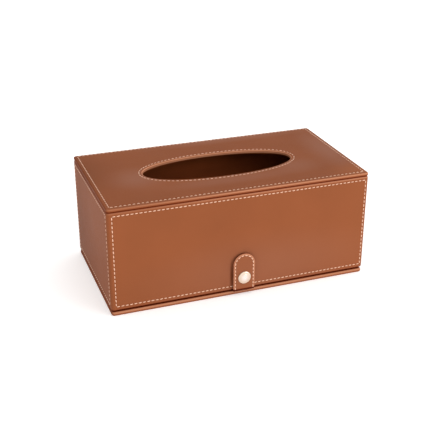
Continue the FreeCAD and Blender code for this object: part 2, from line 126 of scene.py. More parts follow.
class TissueBoxColours(bpy.types.PropertyGroup):
    """Colours of the finishes."""

    leather: tint("Leather", (0.267, 0.0805, 0.0305), "Tan of the leather")
    thread: tint("Thread", (0.90, 0.56, 0.40), "Cream of the stitching thread")
    lining: tint("Lining", (0.19, 0.046, 0.013), "Dark brown of the suede lining")
    board: tint("Board", (0.10, 0.05, 0.027), "Dark brown of the fibreboard")
    nickel: tint("Nickel", (0.70, 0.57, 0.45), "Warm white of the plated press stud")
    seed: IntProperty(name="Seed", description="Seed of the small unevenness of the stitches", default=7)


# ---- finishes

class Value:
    """An output of a node, so that maths between nodes reads as plain expressions."""

    def __init__(self, graph, socket):
        self.graph = graph
        self.socket = socket

    def __add__(self, other):
        return self.graph.maths("ADD", self, other)

    def __sub__(self, other):
        return self.graph.maths("SUBTRACT", self, other)

    def __rsub__(self, other):
        return self.graph.maths("SUBTRACT", other, self)

    def __mul__(self, other):
        return self.graph.maths("MULTIPLY", self, other)

    __radd__ = __add__
    __rmul__ = __mul__


class Graph:
    """Node tree that is made one node at a time."""

    def __init__(self, tree):
        self.nodes = tree.nodes
        self.links = tree.links

    def add(self, kind, sockets=None, output=0, **settings):
        """Node of a kind: its settings first, then the values or links of its sockets."""
        node = self.nodes.new(kind)
        for name, setting in settings.items():
            setattr(node, name, setting)
        for name, given in (sockets or {}).items():
            if isinstance(given, Value):
                self.links.new(given.socket, node.inputs[name])
            else:
                node.inputs[name].default_value = given
        return Value(self, node.outputs[output]) if node.outputs else None

    def maths(self, operation, *values):
        return self.add("ShaderNodeMath", dict(enumerate(values)), operation=operation)


class Finish(Graph):
    """A material's nodes."""

    def __init__(self, name):
        self.material = bpy.data.materials.new(name)
        self.material.use_nodes = True
        super().__init__(self.material.node_tree)
        self.nodes.clear()

    def here(self):
        return self.add("ShaderNodeTexCoord", output="Object")

    def place(self, stretch=(1, 1, 1)):
        """Object coordinates, multiplied along each axis."""
        return self.add("ShaderNodeMapping", {"Vector": self.here(), "Scale": stretch})

    def noise(self, scale, detail=2.0, roughness=0.5, stretch=(1, 1, 1)):
        return self.add("ShaderNodeTexNoise", {
            "Vector": self.place(stretch), "Scale": scale, "Detail": detail, "Roughness": roughness})

    def attribute(self, name):
        return self.add("ShaderNodeAttribute", output="Fac", attribute_name=name)

    def between(self, value, low, high):
        """The value spread from 0 at low to 1 at high, and held outside them."""
        return self.add("ShaderNodeMapRange", {"Value": value, "From Min": low, "From Max": high})

    def blend(self, share, first, second):
        """From the first colour to the second as the share goes from 0 to 1."""
        return self.add("ShaderNodeMix", {0: share, 6: first, 7: second}, 2, data_type="RGBA")

    def spot(self, centre, reach):
        """1 at a place on the object, falling smoothly to 0 at its reach along each axis."""
        kind = "ShaderNodeVectorMath"
        away = self.add(kind, {0: self.here(), 1: Vector(centre) * MM}, operation="SUBTRACT")
        away = self.add(kind, {0: away, 1: Vector(reach) * MM}, operation="DIVIDE")
        away = self.add(kind, {0: away}, "Value", operation="LENGTH")
        return self.add("ShaderNodeMapRange", {"Value": away, "From Min": 1.0, "From Max": 0.0},
                        interpolation_type="SMOOTHSTEP")

    def bump(self, height, distance, below=None):
        sockets = {"Height": height, "Distance": distance, "Strength": 1.0}
        if below:
            sockets["Normal"] = below
        return self.add("ShaderNodeBump", sockets)

    def shell(self, **sockets):
        """Closes the material with its surface."""
        named = {name.replace("_", " "): given for name, given in sockets.items()}
        self.add("ShaderNodeOutputMaterial", {"Surface": self.add("ShaderNodeBsdfPrincipled", named)})
        return self.material


def dyed(colour, *factors):
    """A plain colour with its red, green and blue multiplied, by one factor or by three."""
    return tuple(part * factor for part, factor in zip(colour, factors * 3)) + (1.0,)


# Painted sheen and painted light: soft lighter patches in the leather's colour, which stay in place however
# the box is lit: centre and reach along each axis, in millimetres, and strength.
PAINTED_SHEEN_PATCHES = (
    ((1, -65, 2.4), (14, 3, 2.6), 1.0),         # Front edge of the base, below the strap.
    ((-78, -8, 100), (36, 34, 20), 0.85),       # Top, left of the opening.
    ((0, -37, 100), (95, 15, 20), 0.58),        # Top, in front of the opening.
    ((112, 3, 100), (28, 74, 20), 0.95),        # Top, at the right end.
    ((30, 62, 100), (125, 15, 20), 0.85),       # Top, along the back.
    ((65, -25, 100), (36, 24, 20), 0.6),        # Top, in front of the opening's right end.
    ((20, -65, 22), (150, 10, 45), 0.45),       # Lower part of the front wall.
)
# Painted shade the same way, with a colour factor for each patch: on the right wall, along the back edge of
# the top, a painted shadow left of the strap, at the left end of the top and on the left wall towards the
# back. Only the last one is lighter than the leather: painted light on the front right corner of the top.
PAINTED_SHADE_AND_LIGHT_PATCHES = (
    ((121.5, 0, 50), (3, 900, 900), 0.9, (0.45, 0.42, 0.38)),       # Right wall.
    ((0, 66, 100.6), (900, 3.4, 3.4), 1.0, (0.32, 0.32, 0.34)),     # Back edge of the top.
    ((-11.0, -65, 20), (2.0, 2, 21), 0.85, (0.42, 0.28, 0.12)),     # Front wall, left of the strap.
    ((-122, 25, 100), (40, 90, 14), 0.40, (0.5, 0.5, 0.5)),         # Left end of the top.
    ((-120, 70, 30), (10, 100, 95), 0.50, (0.5, 0.47, 0.42)),       # Left wall, towards the back.
    ((114, -54, 100.5), (38, 24, 6), 0.8, (1.22, 1.27, 1.22)),      # Front right corner of the top.
)
# Centre and reach of the part of the front's beads where the painted highlight is weaker.
WEAKER_HIGHLIGHT_PATCH = (-125, -66, 98), (150, 14, 30)
# Factors of the leather's red, green and blue: painted sheen, pores, painted highlight on the rims, painted
# shade in the furrows and in the gaps, and the deepest painted shade where the strap goes under the case.
PAINTED_SHEEN_DYE = 1.10, 1.45, 2.25
PORE_DYE = 0.75, 0.75, 0.75
RIM_HIGHLIGHT_DYE = 1.95, 2.75, 4.0
FURROW_SHADE_DYE = 0.45, 0.45, 0.45
GAP_SHADE_DYE = 0.60, 0.27, 0.08
DEEP_GAP_SHADE_DYE = 0.30, 0.12, 0.02


def leather_finish(colour):
    """Smooth tan leather: soft patches, fine grain, patches of painted sheen and painted shade, painted
    highlights on the rims, and painted shade in the furrows and in the gaps between parts.

    The point attributes for the rims, the furrows and the painted shade say how strong the last three are,
    and a painted shade of 2 is darkest.
    """
    finish = Finish("grained_leather")
    clouds = finish.between(finish.noise(14.0, 3.0, 0.55), 0.32, 0.68)
    pores = finish.noise(1500.0, 2.0, 0.6)
    cells = finish.add("ShaderNodeTexVoronoi", {"Vector": finish.place(), "Scale": 1150.0},
                       feature="DISTANCE_TO_EDGE")
    pebble = finish.between(cells, 0.0, 0.25)
    crease, painted_shade = finish.attribute("crease"), finish.attribute("painted_shade")
    # Painted highlight on the rims, weaker on the left part of the front's beads.
    rim = finish.attribute("rim") * (1.0 - finish.spot(*WEAKER_HIGHLIGHT_PATCH) * 0.6)
    # Patches of painted sheen, of painted shade and light, pores, painted highlight on the rims, and painted
    # shade in the furrows and in the gaps.
    layers = [(finish.spot(*patch) * strength, PAINTED_SHEEN_DYE) for *patch, strength in PAINTED_SHEEN_PATCHES]
    layers += [(finish.spot(*patch) * strength, dye) for *patch, strength, dye in PAINTED_SHADE_AND_LIGHT_PATCHES]
    layers += [(pores * 0.16, PORE_DYE), (rim, RIM_HIGHLIGHT_DYE), (crease * 0.3, FURROW_SHADE_DYE),
               (painted_shade, GAP_SHADE_DYE), (painted_shade - 1.0, DEEP_GAP_SHADE_DYE)]
    tone = finish.blend(clouds, dyed(colour, 0.95), dyed(colour, 1.05))
    for share, dye in layers:
        tone = finish.blend(share, tone, dyed(colour, *dye))
    waves = finish.bump(finish.noise(16.0, 1.0, 0.4), 0.0016)
    grain = finish.bump(pebble * 0.6 + pores * 0.4, 0.00003, waves)
    gloss = 0.47 + finish.noise(420.0, 2.0) * 0.12 + crease * 0.1 - rim * 0.05
    return finish.shell(Base_Color=tone, Roughness=gloss, Normal=grain, IOR=1.45, Specular_IOR_Level=0.05)


def suede_finish(colour):
    """Napped lining: soft blotches, short fibres, and painted light and shade on the back lining."""
    finish = Finish("napped_suede")
    nap = finish.noise(90.0, 4.0, 0.65)
    fibres = finish.noise(1900.0, 3.0, 0.7)
    tone = finish.blend(nap, dyed(colour, 0.72), dyed(colour, 1.35))
    tone = finish.blend(fibres * 0.4, tone, dyed(colour, 0.5))
    # Painted light and shade, however the box is lit: the back lining is lighter in its middle and dark under
    # the top.
    tone = finish.blend(finish.spot((10, 60, 45), (150, 60, 62)) * 0.85, tone, dyed(colour, 2.5))
    tone = finish.blend(finish.spot((0, 60, 98), (200, 60, 26)) * 0.9, tone, dyed(colour, 0.1))
    return finish.shell(Base_Color=tone, Roughness=0.95, Specular_IOR_Level=0.04,
                        Normal=finish.bump(fibres * 0.7 + nap * 0.3, 0.00012))


def board_finish(colour):
    """Pressed fibreboard with short lighter fibres."""
    finish = Finish("fibreboard")
    fibres = finish.noise(260.0, 5.0, 0.7, (1.0, 1.0, 3.0))
    specks = finish.between(finish.noise(800.0, 2.0), 0.58, 0.7)
    tone = finish.blend(fibres, dyed(colour, 0.75), dyed(colour, 1.25))
    tone = finish.blend(specks * 0.5, tone, dyed(colour, 1.7))
    return finish.shell(Base_Color=tone, Roughness=0.9, Specular_IOR_Level=0.05,
                        Normal=finish.bump(fibres, 0.0001))


def nickel_finish(colour):
    """Plated press stud metal with a soft polish and a painted highlight on its crown."""
    finish = Finish("plated_nickel")
    haze = finish.noise(700.0, 3.0)
    tone = finish.blend(haze, dyed(colour, 0.97), dyed(colour, 1.03))
    # Painted highlight: the crown is paler however the cap is lit.
    crown = finish.spot((0, -69.8, 18), (5.4, 9, 5.4))
    tone = finish.blend(crown, tone, dyed(colour, 1.28, 1.46, 1.76))
    return finish.shell(Base_Color=tone, Metallic=1.0, Roughness=0.2 + haze * 0.08,
                        Normal=finish.bump(finish.noise(240.0, 1.0), 0.000006))


def thread_finish(colour):
    """Waxed thread, its plies laid across each stitch."""
    finish = Finish("waxed_thread")
    run = finish.attribute("thread_run") * 9000.0
    ply = finish.maths("SINE", run)
    fuzz = finish.noise(2600.0, 2.0)
    tone = finish.blend(fuzz * 0.5, dyed(colour, 1.08), dyed(colour, 0.72))
    tone = finish.blend(finish.between(ply, 0.2, -1.0) * 0.35, tone, dyed(colour, 0.6))
    return finish.shell(Base_Color=tone, Roughness=0.62, Specular_IOR_Level=0.3,
                        Normal=finish.bump(ply, 0.00006))


def floor_finish():
    """White table that glows a little, so that the box's shadow on it stays light."""
    finish = Finish("floor_paint")
    mottle = finish.noise(3.0, 2.0)
    return finish.shell(Base_Color=finish.blend(mottle, (0.93, 0.93, 0.93, 1), (0.95, 0.95, 0.95, 1)),
                        Roughness=0.9, Specular_IOR_Level=0.1,
                        Emission_Color=(1.0, 1.0, 1.0, 1), Emission_Strength=0.35)


# ---- mesh making

def put(name, data):
    """New object in the scene."""
    item = bpy.data.objects.new(name, data)
    bpy.context.scene.collection.objects.link(item)
    return item


def piece_from(name, points, faces, finish, furrow_and_painted_light=None, weld=0.0, sharp=50.0):
    """Closed piece from its points and faces, faces outwards. Each point may also carry three numbers: its
    furrow, its painted highlight and its painted shade.
    """
    mesh = bpy.data.meshes.new(name)
    mesh.from_pydata([tuple(point) for point in np.asarray(points).reshape(-1, 3)], [], faces)
    if furrow_and_painted_light is not None:
        furrow_and_painted_light = np.asarray(furrow_and_painted_light, np.float32).reshape(-1, 3)
        for label, values in zip(("crease", "rim", "painted_shade"), furrow_and_painted_light.T):
            kept = mesh.attributes.new(label, "FLOAT", "POINT")
            kept.data.foreach_set("value", np.ascontiguousarray(values))
    work = bmesh.new()
    work.from_mesh(mesh)
    if weld:
        bmesh.ops.remove_doubles(work, verts=work.verts, dist=weld)
    bmesh.ops.dissolve_degenerate(work, dist=1e-7, edges=work.edges)
    bmesh.ops.recalc_face_normals(work, faces=work.faces)
    if work.calc_volume(signed=True) < 0:
        bmesh.ops.reverse_faces(work, faces=work.faces)
    loose = [edge for edge in work.edges if len(edge.link_faces) != 2]
    if loose:
        raise RuntimeError(f"{name} is open along {len(loose)} edges")
    work.to_mesh(mesh)
    work.free()
    mesh.polygons.foreach_set("use_smooth", [True] * len(mesh.polygons))
    mesh.set_sharp_from_angle(angle=math.radians(sharp))
    mesh.materials.append(finish)
    return put(name, mesh)


def loft_faces(rows, columns, close_rows=False, close_columns=False, cap=False):
    """Quads between neighbouring rows of points, with flat ends on the first and last row if asked."""
    faces = []
    for row in range(rows if close_rows else rows - 1):
        after = (row + 1) % rows
        for column in range(columns if close_columns else columns - 1):
            beside = (column + 1) % columns
            faces.append((row * columns + column, row * columns + beside,
                          after * columns + beside, after * columns + column))
    if cap:
        faces.append(tuple(range(columns)))
        faces.append(tuple(range((rows - 1) * columns, rows * columns)))
    return faces


def arc(height, radius, start, end, steps=6):
    """Points (inset, height) round an edge about a height, from 0 degrees outwards to 90 degrees up."""
    angles = np.radians(np.linspace(start, end, steps + 1))
    return [(radius - radius * math.cos(a), height + radius * math.sin(a)) for a in angles]


def marks(reach, line, coarse, shift=0.0):
    """Places from -reach to reach along a wall, close together where it crosses the stitching."""
    inner = line + ACROSS_STITCH[0]
    steps = max(2, round(inner / coarse))
    half = np.concatenate([np.arange(1, steps) * inner / steps, line + ACROSS_STITCH])
    places = np.concatenate([-half[::-1], [0.0], half]) + shift
    return places[np.abs(places) < reach - NARROW]


class Plan:
    """Rounded rectangle seen from above, as stations that keep their order as it shrinks.

    It runs from the back left corner along the left side, the front, the right side and the back. Back
    marks leave the back open between them: they are its places on the right, and are mirrored on the left.
    """

    def __init__(self, half, radius, long_marks, short_marks, back_marks=None, middle=(0, 0)):
        self.half = np.array(half)
        self.middle = np.array(middle)
        straight = self.half - radius
        share, facing = [], []

        def run(places, side):
            """Along the front or the back."""
            for place in places:
                share.append((place / straight[0], side))
                facing.append((0, side))

        def turn(side_x, side_y, start):
            for angle in np.radians(np.linspace(start, start + 90, 9)):
                share.append((side_x, side_y))
                facing.append((math.cos(angle), math.sin(angle)))

        def climb(places, side):
            """Along the left or the right side."""
            for place in places:
                share.append((side, place / straight[1]))
                facing.append((side, 0))

        if back_marks is not None:
            run(-back_marks, 1)
        turn(-1, 1, 90)
        climb(short_marks[::-1], -1)
        turn(-1, -1, 180)
        run(long_marks, -1)
        turn(1, -1, 270)
        climb(short_marks, 1)
        turn(1, 1, 0)
        run((long_marks if back_marks is None else back_marks)[::-1], 1)
        self.share = np.array(share, float)
        self.facing = np.array(facing, float)

    def ring(self, inset, radius):
        """The stations, brought in by an inset with corners of a radius."""
        inset = np.broadcast_to(np.asarray(inset, float), len(self.share))[:, None]
        return self.middle + self.share * (self.half - inset - radius) + self.facing * radius


def layer(flat, height):
    """Points of a flat ring lifted to a height."""
    return np.column_stack([flat, np.full(len(flat), height)])


class Rings:
    """Rings of points of a cover, and each point's furrow, painted highlight and painted shade."""

    def __init__(self):
        self.points, self.furrow_and_painted_light = [], []

    def lay(self, flat, height, crease=0.0, rim=0.0, painted_shade=0.0):
        """Adds a ring. Its furrow, painted highlight and painted shade are three numbers, or three lists with
        a number for each point.
        """
        self.points.append(layer(flat, height))
        self.furrow_and_painted_light.append(np.column_stack([np.full(len(flat), part) for part in (crease, rim, painted_shade)]))


def faded(distance, full, gone):
    """1 up to a distance, then falling smoothly to 0."""
    share = min(1.0, max(0.0, (gone - distance) / (gone - full)))
    return share * share * (3 - 2 * share)


def bead_highlight(height, high, bead):
    """Painted highlight on a bead at a height: most at 40 degrees up its round, and less towards foot and
    crown.
    """
    rise = min(1.0, max(0.0, (height - high + bead) / bead))
    return math.exp(-((math.degrees(math.asin(rise)) - 40) / 30) ** 2)


def light_by_facing(facing):
    """Painted highlight and painted shade on beads that face a way: highlight on those that face the front
    and right, shade on those that face left and back.
    """
    front = np.clip(-facing[:, 1], 0, 1)
    highlit = np.clip(front + 0.6 * np.clip(facing[:, 0], 0, 1), 0, 1)
    return highlit, 0.5 * np.clip(np.maximum(-facing[:, 0], facing[:, 1]) - front, 0, 1)


def groove(distance, sizes):
    """How far into the furrow a point is, from 0 beside it to 1 on the stitch line."""
    return np.exp(-(distance / sizes.groove_width) ** 2)


def wall_frame(sizes):
    """Half the height of the walls' rectangles of stitches, and the height of their middle."""
    return (WALL_HIGH.z - WALL_LOW.z) / 2 - sizes.row_inset, (WALL_HIGH.z + WALL_LOW.z) / 2


def from_stitch_frame(across, along, half_across, half_along):
    """Distance of points from a rounded rectangle of stitches about the middle of a panel."""
    over_x, over_y = np.abs(across) - (half_across - ROW_TURN), np.abs(along) - (half_along - ROW_TURN)
    outside = np.hypot(np.maximum(over_x, 0), np.maximum(over_y, 0))
    return np.abs(outside + np.minimum(np.maximum(over_x, over_y), 0) - ROW_TURN)


# ---- covers

def opening_rim(sizes, angle):
    """Points of the oval opening at angles round it, and their outward directions."""
    half = np.array([sizes.opening_length, sizes.opening_width]) / 2
    turn = np.column_stack([np.cos(angle), np.sin(angle)])
    edge = np.sign(turn) * np.abs(turn) ** (2 / sizes.opening_fullness)
    away = np.sign(edge) * np.abs(edge) ** (sizes.opening_fullness - 1) / half
    return edge * half, away / np.linalg.norm(away, axis=1)[:, None]


def make_top_cover(sizes, finish):
    """Leather over the top: bead, stitched margin, flat field, rolled lip and collar of the opening."""
    half = TOP_HIGH.xy
    radius = sizes.corner_radius
    reach = np.array(half) - radius
    plan = Plan(half, radius,
                np.linspace(-reach[0], reach[0], 108)[1:-1], np.linspace(-reach[1], reach[1], 58)[1:-1])
    outer = plan.ring(0.0, radius)
    edge, away = opening_rim(sizes, np.arctan2(outer[:, 1] / half[1], outer[:, 0] / half[0]))
    low, high = TOP_LOW.z, TOP_HIGH.z
    bead, foot, lip = 1.2 * MM, 0.9 * MM, 1.0 * MM
    tight = 1.8 * MM        # Least corner radius of a ring.
    margin = 2.2 * MM       # From a stitch line to the flat field.
    line = sizes.top_inset
    highlit, shaded = light_by_facing(plan.facing)
    rings = Rings()

    def from_edge(inset, height, *furrow_and_painted_light):
        rings.lay(plan.ring(inset, max(radius - inset, tight)), height, *furrow_and_painted_light)

    def from_opening(outset, height, *furrow_and_painted_light):
        rings.lay(edge + away * outset, height, *furrow_and_painted_light)

    # Painted shade on the underside and in the gap above the walls, and painted highlight and shade on the
    # bead by the way it faces.
    from_edge(LEATHER, low, 0, 0, 1)
    for inset, height in arc(low + foot, foot, -90, 0):
        from_edge(inset, height, 0, 0, faded(height - low, 0.3 * MM, 1.2 * MM))
    for inset, height in arc(high - bead, bead, 0, 90, 8):
        rim = bead_highlight(height, high, bead)
        from_edge(inset, height, 0, rim * highlit, rim * shaded)
    from_edge(bead + 0.3 * MM, high, 0, 0.1 * highlit, 0.1 * shaded)
    for step in ACROSS_STITCH[2:]:      # Behind, the shift would bring the first two on to the bead.
        sunk = groove(step, sizes)
        row = plan.ring(line + step, max(radius - line - step, tight)) + (0.0, sizes.top_shift)
        rings.lay(row, high - sizes.groove_depth * sunk, sunk)
    inner = plan.ring(line + margin, tight)
    outer = edge + away * (sizes.opening_inset + margin)
    for share in np.linspace(0, 1, 14):
        rings.lay(inner * (1 - share) + outer * share, high)
    for step in ACROSS_STITCH[:0:-1]:   # Inwards, and short of the lip.
        sunk = groove(step, sizes)
        from_opening(sizes.opening_inset + step, high - sizes.groove_depth * sunk, sunk)
    # Painted highlight on the lip.
    for inset, height in arc(high - lip, lip, 90, 0, 8):
        from_opening(inset, height, 0, min(1.0, 1.5 * bead_highlight(height, high, lip)))
    # The collar with a painted highlight, its underside, and the leather's inner side.
    from_opening(0.0, low + 0.9 * MM, 0, 0.8)
    from_opening(0.0, low + 0.3 * MM, 0, 0.3)
    from_opening(0.3 * MM, low)
    from_opening(LEATHER, low)
    from_opening(LEATHER, high - LEATHER)
    from_edge(LEATHER, high - LEATHER)
    faces = loft_faces(len(rings.points), len(plan.share), True, True)
    piece = piece_from("top_cover", rings.points, faces, finish, rings.furrow_and_painted_light)
    return dress(piece, "case", "tan_leather", "top_leather")


def wall_rows(sizes):
    """Heights of a wall's rows of points between its rounded edges, close together at the stitching."""
    lower = WALL_LOW.z + sizes.row_inset + ACROSS_STITCH
    upper = WALL_HIGH.z - sizes.row_inset + ACROSS_STITCH
    rows = np.concatenate([lower, np.linspace(lower[-1], upper[0], 12)[1:-1], upper])
    return rows[(rows > WALL_LOW.z + WALL_FOOT + NARROW) & (rows < WALL_HIGH.z - BEAD - NARROW)]


def wall_painted_light(height):
    """Painted highlight on a wall's bead at a height, and painted shade in the gap above the wall."""
    rim = bead_highlight(height, WALL_HIGH.z, BEAD) if height > WALL_HIGH.z - BEAD else 0.0
    return rim, faded(WALL_HIGH.z - height, 0.4 * MM, 1.3 * MM)


def turned_in(low, high, lower, upper):
    """Inner side of a section, from its upper turned-in edge round the board's place to its lower one."""
    return [(upper, high - LEATHER), (LEATHER, high - LEATHER),
            (LEATHER, low + LEATHER), (lower, low + LEATHER)]


def make_wall_cover(sizes, finish):
    """Band of leather round the left, front and right walls and both back corners."""
    half = np.array(WALL_HIGH.xy)
    radius = sizes.corner_radius
    straight = half - radius
    low, high = WALL_LOW.z, WALL_HIGH.z
    depth = BACK_HIGH.y - BACK_LOW.y
    joint = BACK_HIGH.x + 0.2 * MM      # Where the band ends beside the back panel.
    coarse = 5.0 * MM
    plan = Plan(half, radius,
                marks(straight[0], half[0] - sizes.stitch_inset, coarse, sizes.front_shift),
                marks(straight[1], half[1] - sizes.side_inset, coarse),
                np.array([joint, (joint + straight[0]) / 2]))
    section = [(depth, low)] + arc(low + WALL_FOOT, WALL_FOOT, -90, 0)
    section += [(0.0, height) for height in wall_rows(sizes)]
    section += arc(high - BEAD, BEAD, 0, 90, 8) + [(depth, high)]
    shown = len(section)
    section += turned_in(low, high, depth, depth)

    # Distance along each wall from its middle, unrolled round the corners. Walls go by the way they face,
    # in degrees: front, left and right.
    ring = plan.ring(0.0, radius)
    angle = np.degrees(np.arctan2(plan.facing[:, 1], plan.facing[:, 0])) % 360
    frames = []
    for facing, axis, shift, inset in ((270, 0, sizes.front_shift, sizes.stitch_inset),
                                       (180, 1, 0.0, sizes.side_inset), (0, 1, 0.0, sizes.side_inset)):
        turn = (angle - facing + 180) % 360 - 180
        beyond = np.sign(ring[:, axis]) * np.where(
            np.abs(turn) < 0.01, np.abs(ring[:, axis]), straight[axis] + np.radians(np.abs(turn)) * radius)
        frames.append((np.abs(turn) < 89, beyond - shift, half[axis] - inset))

    half_tall, middle = wall_frame(sizes)
    highlit, shaded = light_by_facing(plan.facing)
    rings = Rings()
    for number, (inset, height) in enumerate(section):
        sunk, rim, painted_shade = np.zeros(len(ring)), 0.0, 0.0
        if number < shown:
            # Painted highlight on the bead, painted shade in the gaps at the top and foot of the wall, and on
            # beads that face left and back.
            rim, painted_shade = wall_painted_light(height)
            painted_shade = max(painted_shade, faded(height - low, 0.5 * MM, 1.6 * MM))
            for on_wall, along, reach in frames:
                distance = from_stitch_frame(along, height - middle, reach, half_tall)
                sunk = np.maximum(sunk, groove(distance, sizes) * on_wall)
        flat = plan.ring(inset, max(radius - inset, NARROW))
        flat = flat - plan.facing * (sunk * sizes.groove_depth)[:, None]
        rings.lay(flat, height, sunk, rim * highlit, np.maximum(painted_shade, rim * shaded))
    points, furrow_and_painted_light = (np.array(part).transpose(1, 0, 2) for part in (rings.points, rings.furrow_and_painted_light))
    faces = loft_faces(len(ring), len(section), False, True, True)
    piece = piece_from("wall_cover", points, faces, finish, furrow_and_painted_light)
    return dress(piece, "case", "tan_leather", "wall_leather")


def make_back_hide(sizes, finish):
    """Back panel of the hide: turned in at the top, stitched, and running over the fold to the base."""
    low, high = WALL_LOW.z, WALL_HIGH.z
    face, inner = BACK_HIGH.y, BACK_LOW.y
    half = BACK_HIGH.x
    half_wide = half - sizes.stitch_inset
    hem = low + 1.0 * MM
    section = [(face, z) for z in [*np.linspace(BASE_TOP, hem, 12), *wall_rows(sizes)]]
    section += [(face - inset, z) for inset, z in arc(high - BEAD, BEAD, 0, 90, 8)]
    shown = len(section)
    section += [(inner, high), (inner, high - LEATHER), (face - LEATHER, high - LEATHER)]
    section += [(face - LEATHER, z) for z in np.linspace(hem, BASE_TOP, 12)]
    places = [-half, *marks(half, half_wide, 6.0 * MM), half]
    half_tall, middle = wall_frame(sizes)
    points, furrow_and_painted_light = [], []
    for place in places:
        for number, (y, z) in enumerate(section):
            # Painted shade on the back bead and in the gap above the wall.
            rim, painted_shade = wall_painted_light(z)
            sunk = groove(from_stitch_frame(place, z - middle, half_wide, half_tall), sizes)
            if number >= shown:
                sunk, rim = 0.0, 0.0
            points.append((place, y - sunk * sizes.groove_depth, z))
            furrow_and_painted_light.append((sunk, 0.0, max(0.5 * rim, painted_shade)))
    faces = loft_faces(len(places), len(section), False, True, True)
    piece = piece_from("back_hide", points, faces, finish, furrow_and_painted_light)
    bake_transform(piece)
    return dress(piece, None, "tan_leather", "back_leather")


def make_base_cover(sizes, finish):
    """Leather round the base board: under it, round its edge, and turned in over its top."""
    low, high = BASE_LOW.z, BASE_TOP
    half = (BASE_HIGH.x, (BASE_HIGH.y - BASE_LOW.y) / 2)
    radius = sizes.corner_radius
    straight = half[1] - radius
    hide, beside = BACK_HIGH.x, BACK_HIGH.x + 0.3 * MM
    plan = Plan(half, radius, np.array([-beside, *np.linspace(-hide, hide, 50), beside]),
                np.linspace(-straight, straight, 30)[1:-1], middle=(0, (BASE_HIGH.y + BASE_LOW.y) / 2))
    # Behind, where the hide rises to the fold, the upper edge is square and has no painted highlight or
    # shade.
    squared = (plan.facing[:, 1] > 0.999) & (np.abs(plan.ring(0.0, radius)[:, 0]) <= hide + 0.01 * MM)
    foot, turn_in, inner, innermost = 1.3 * MM, 12.0 * MM, 20.0 * MM, 50.0 * MM
    highlit, shaded = (part * ~squared for part in light_by_facing(plan.facing))
    section = [(innermost, low), (inner, low)] + arc(low + foot, foot, -90, 0)
    section += arc(high - BEAD, BEAD, 0, 90, 9) + [(turn_in, high)]
    shown = len(section)
    section += turned_in(low, high, innermost, turn_in)
    rings = Rings()
    for number, (inset, height) in enumerate(section):
        upper = height > high - BEAD and inset < BEAD and number < shown
        flat = plan.ring(np.where(squared & upper, 0.0, inset), max(radius - inset, NARROW))
        # Painted highlight and shade on the bead, and painted shade along the top under the case's walls.
        rim = bead_highlight(height, high, BEAD) if upper else 0.0
        painted_shade = faded(high - height, 0.1 * MM, 0.6 * MM) * (inset < turn_in)
        rings.lay(flat, height, 0.0, rim * highlit, np.maximum(painted_shade, rim * shaded))
    faces = loft_faces(len(section), len(plan.share), False, True, True)
    piece = piece_from("base_cover", rings.points, faces, finish, rings.furrow_and_painted_light)
    return dress(piece, "base_flap", "tan_leather", "base_leather")


# ---- strap

def strap_sheet(name, finish, profile, runs, laid, painted_light_at):
    """One leather of the strap: a section swept up one edge, round the tip and down the other edge.

    The profile gives (distance in from the edge, depth below the outer face), from the middle line of
    the outer face to the middle line of the inner face. A run is the distance down from the shoulder.
    """
    radius = STRAP_HIGH.x
    stations = [(-1.0, 0.0, run) for run in reversed(runs)]
    stations += [(math.cos(a), math.sin(a), 0.0) for a in np.linspace(math.pi, 0, 37)[1:-1]]
    stations += [(1.0, 0.0, run) for run in runs]
    points = [laid(side * (radius - inset), run - rise * (radius - inset), depth)
              for side, rise, run in stations for inset, depth in profile]
    faces = loft_faces(len(stations), len(profile), False, False, True)
    furrow_and_painted_light = [painted_light_at(inset, depth, run) for side, rise, run in stations for inset, depth in profile]
    return piece_from(name, points, faces, finish, furrow_and_painted_light, weld=0.002 * MM)


def make_strap_band(sizes, finish):
    """Outer leather of the strap, from its round tip down, round the bend and under the case."""
    radius, face, bend = STRAP_HIGH.x, STRAP_LOW.y, sizes.strap_bend
    shoulder, foot = STRAP_HIGH.z - radius, TAIL_LOW.z + bend
    straight = shoulder - foot
    turn = (bend - STRAP_PLY / 2) * math.pi / 2
    tail = TAIL_HIGH.y - (face + bend)

    def laid(x, run, depth):
        if run <= straight:
            return x, face + depth, shoulder - run
        if run < straight + turn:
            angle = (run - straight) / turn * math.pi / 2
            out = bend - depth
            return x, face + bend - out * math.cos(angle), foot - out * math.sin(angle)
        return x, face + bend + (run - straight - turn), TAIL_LOW.z + depth

    line, round_off = sizes.strap_inset, np.radians(np.linspace(80, 0, 8))
    profile = [(radius, 0), (radius * 0.75, 0), (radius * 0.5, 0)]
    profile += [(line + step, sizes.groove_depth * groove(step, sizes)) for step in ACROSS_STITCH[:1:-1]]
    profile += [(1.1 * MM * (1 - math.cos(a)), 0.95 * MM * (1 - math.sin(a))) for a in round_off]
    profile += [(0.0, STRAP_PLY - 0.08 * MM), (0.08 * MM, STRAP_PLY),
                (radius * 0.5, STRAP_PLY), (radius, STRAP_PLY)]
    shade_from = 0.14 * turn    # Above the bend, where the leather starts to go into the gap's shade.
    runs = [*np.linspace(0, straight - shade_from, 10), straight - shade_from / 2]
    runs += [*(straight + np.linspace(0, turn, 9)), *(straight + turn + np.linspace(0, tail, 6)[1:])]

    def painted_light_at(inset, depth, run):
        # Painted shade where the strap goes into the gap under the case, and a painted highlight on its
        # margin and edge.
        in_gap_shade = 1 - faded(run - straight, -shade_from, 0.0)
        margin = (0.9 if inset < 0.7 * MM else 0.6) * (inset < line - 0.2 * MM)
        return groove(inset - line, sizes) * (depth < STRAP_PLY / 2), margin * (1 - in_gap_shade), 2.0 * in_gap_shade

    piece = strap_sheet("strap_band", finish, profile, runs, laid, painted_light_at)
    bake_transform(piece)
    return dress(piece, None, "tan_leather", "strap_front_leather", "strap_tail")


